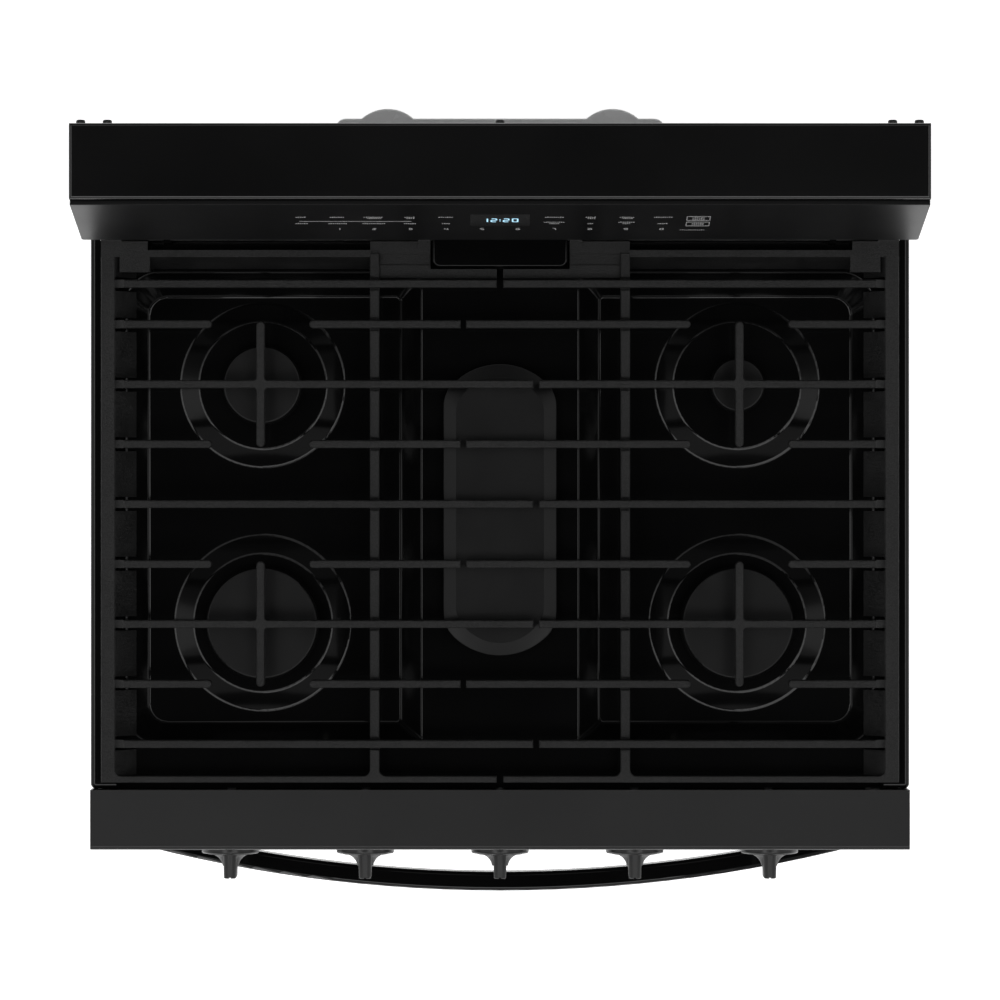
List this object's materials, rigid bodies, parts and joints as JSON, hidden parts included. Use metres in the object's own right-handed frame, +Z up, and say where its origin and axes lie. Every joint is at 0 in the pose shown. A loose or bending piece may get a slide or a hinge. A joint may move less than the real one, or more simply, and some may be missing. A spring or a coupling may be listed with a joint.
{
  "type": "freestanding gas range",
  "caption": "Freestanding gas range with hinged cast-iron grates, burners, front knobs, a drop-down oven door, a storage drawer and a backguard with touch controls.",
  "frame": {"origin": "on the floor, under the centre of the overall bounding box", "axes": "+Z up, front (door, knobs) towards -Y, +X to the cook's right"},
  "size_m": [0.7598, 0.729, 1.1906],
  "materials": {
    "black_enamel": "gloss",
    "black_steel": "satin",
    "galvanised": "matte",
    "oven_enamel": "speckled gloss",
    "insulation": "fibrous",
    "stainless": "brushed",
    "chrome_wire": "polished",
    "cast_iron": "rough enamel",
    "cap_enamel": "satin",
    "aluminium": "cast",
    "brass": "machined",
    "ceramic": "glazed",
    "touch_glass": "gloss",
    "door_glass": "gloss",
    "clear_glass": "clear",
    "black_plastic": "satin",
    "circuit": "satin",
    "gasket": "woven"
  },
  "bodies": {
    "range_body": {"side_panel_left": "black_steel", "side_panel_right": "black_steel", "back_panel": "black_steel", "rear_flue_cover": "galvanised", "base_rails": "black_steel", "leveling_feet": "galvanised", "drawer_slides": "black_steel", "oven_front_frame": "black_steel", "oven_liner": "oven_enamel", "oven_insulation": "insulation", "oven_floor_panel": "oven_enamel", "bake_burner": "stainless", "broil_burner": "stainless", "rack_guides": "chrome_wire", "oven_racks": "chrome_wire", "convection_baffle": "oven_enamel", "convection_motor": "galvanised", "oven_lamp": "clear_glass", "cooktop_pan": "black_enamel", "vent_riser": "black_steel", "grate_hinge_bracket": "black_steel", "grate_hinge_rod": "stainless", "burner_heads": "aluminium", "burner_cap_rear_left": "cap_enamel", "burner_cap_rear_right": "cap_enamel", "burner_caps_front": "cap_enamel", "burner_cap_center": "cap_enamel", "igniters": "ceramic", "gas_tubes": "aluminium", "gas_manifold": "galvanised", "gas_valves": "brass", "pressure_regulator": "aluminium", "control_panel": "black_steel", "knob_bezels": "black_steel", "backguard_shell": "black_steel", "touch_panel": "touch_glass", "display_board": "circuit", "backguard_screws": "black_steel", "door_hinge_arms": "stainless"},
    "grate_left": {"grate_left": "cast_iron"},
    "grate_right": {"grate_right": "cast_iron"},
    "fan": {"convection_fan": "galvanised"},
    "door": {"door_front_glass": "door_glass", "door_shell": "black_steel", "door_inner_panel": "oven_enamel", "door_window_glass": "clear_glass", "door_gasket": "gasket", "door_handle": "black_steel"},
    "drawer": {"drawer_front": "black_steel", "drawer_box": "galvanised"},
    "stem_1": {"valve_stem_1": "brass"},
    "knob_1": {"knob_1": "black_plastic"},
    "stem_2": {"valve_stem_2": "brass"},
    "knob_2": {"knob_2": "black_plastic"},
    "stem_3": {"valve_stem_3": "brass"},
    "knob_3": {"knob_3": "black_plastic"},
    "stem_4": {"valve_stem_4": "brass"},
    "knob_4": {"knob_4": "black_plastic"},
    "stem_5": {"valve_stem_5": "brass"},
    "knob_5": {"knob_5": "black_plastic"}
  },
  "joints": [
    {"name": "grate_left_lift", "type": "hinge", "parent": "range_body", "child": "grate_left", "pos_m": [0, 0.25, 0.924], "axis": [-1, 0, 0], "range_deg": [0, 75]},
    {"name": "grate_right_lift", "type": "hinge", "parent": "range_body", "child": "grate_right", "pos_m": [0, 0.25, 0.924], "axis": [-1, 0, 0], "range_deg": [0, 75]},
    {"name": "door_open", "type": "hinge", "parent": "range_body", "child": "door", "pos_m": [0, -0.277, 0.242], "axis": [1, 0, 0], "range_deg": [0, 90], "stiffness_Nm_per_rad": 14, "springref_deg": -32.66},
    {"name": "drawer_slide", "type": "slide", "parent": "range_body", "child": "drawer", "axis": [0, -1, 0], "range_m": [0, 0.4]},
    {"name": "fan_spin", "type": "hinge", "parent": "range_body", "child": "fan", "pos_m": [0, 0.195, 0.48], "axis": [0, 1, 0], "continuous": true},
    {"name": "knob_1_turn", "type": "hinge", "parent": "range_body", "child": "stem_1", "pos_m": [-0.252, -0.31, 0.868], "axis": [0, -1, 0], "range_deg": [0, 240]},
    {"name": "knob_1_push", "type": "slide", "parent": "stem_1", "child": "knob_1", "axis": [0, 1, 0], "range_m": [0, 0.003], "stiffness_N_per_m": 800},
    {"name": "knob_2_turn", "type": "hinge", "parent": "range_body", "child": "stem_2", "pos_m": [-0.126, -0.31, 0.868], "axis": [0, -1, 0], "range_deg": [0, 240]},
    {"name": "knob_2_push", "type": "slide", "parent": "stem_2", "child": "knob_2", "axis": [0, 1, 0], "range_m": [0, 0.003], "stiffness_N_per_m": 800},
    {"name": "knob_3_turn", "type": "hinge", "parent": "range_body", "child": "stem_3", "pos_m": [0, -0.31, 0.868], "axis": [0, -1, 0], "range_deg": [0, 240]},
    {"name": "knob_3_push", "type": "slide", "parent": "stem_3", "child": "knob_3", "axis": [0, 1, 0], "range_m": [0, 0.003], "stiffness_N_per_m": 800},
    {"name": "knob_4_turn", "type": "hinge", "parent": "range_body", "child": "stem_4", "pos_m": [0.126, -0.31, 0.868], "axis": [0, -1, 0], "range_deg": [0, 240]},
    {"name": "knob_4_push", "type": "slide", "parent": "stem_4", "child": "knob_4", "axis": [0, 1, 0], "range_m": [0, 0.003], "stiffness_N_per_m": 800},
    {"name": "knob_5_turn", "type": "hinge", "parent": "range_body", "child": "stem_5", "pos_m": [0.252, -0.31, 0.868], "axis": [0, -1, 0], "range_deg": [0, 240]},
    {"name": "knob_5_push", "type": "slide", "parent": "stem_5", "child": "knob_5", "axis": [0, 1, 0], "range_m": [0, 0.003], "stiffness_N_per_m": 800}
  ]
}
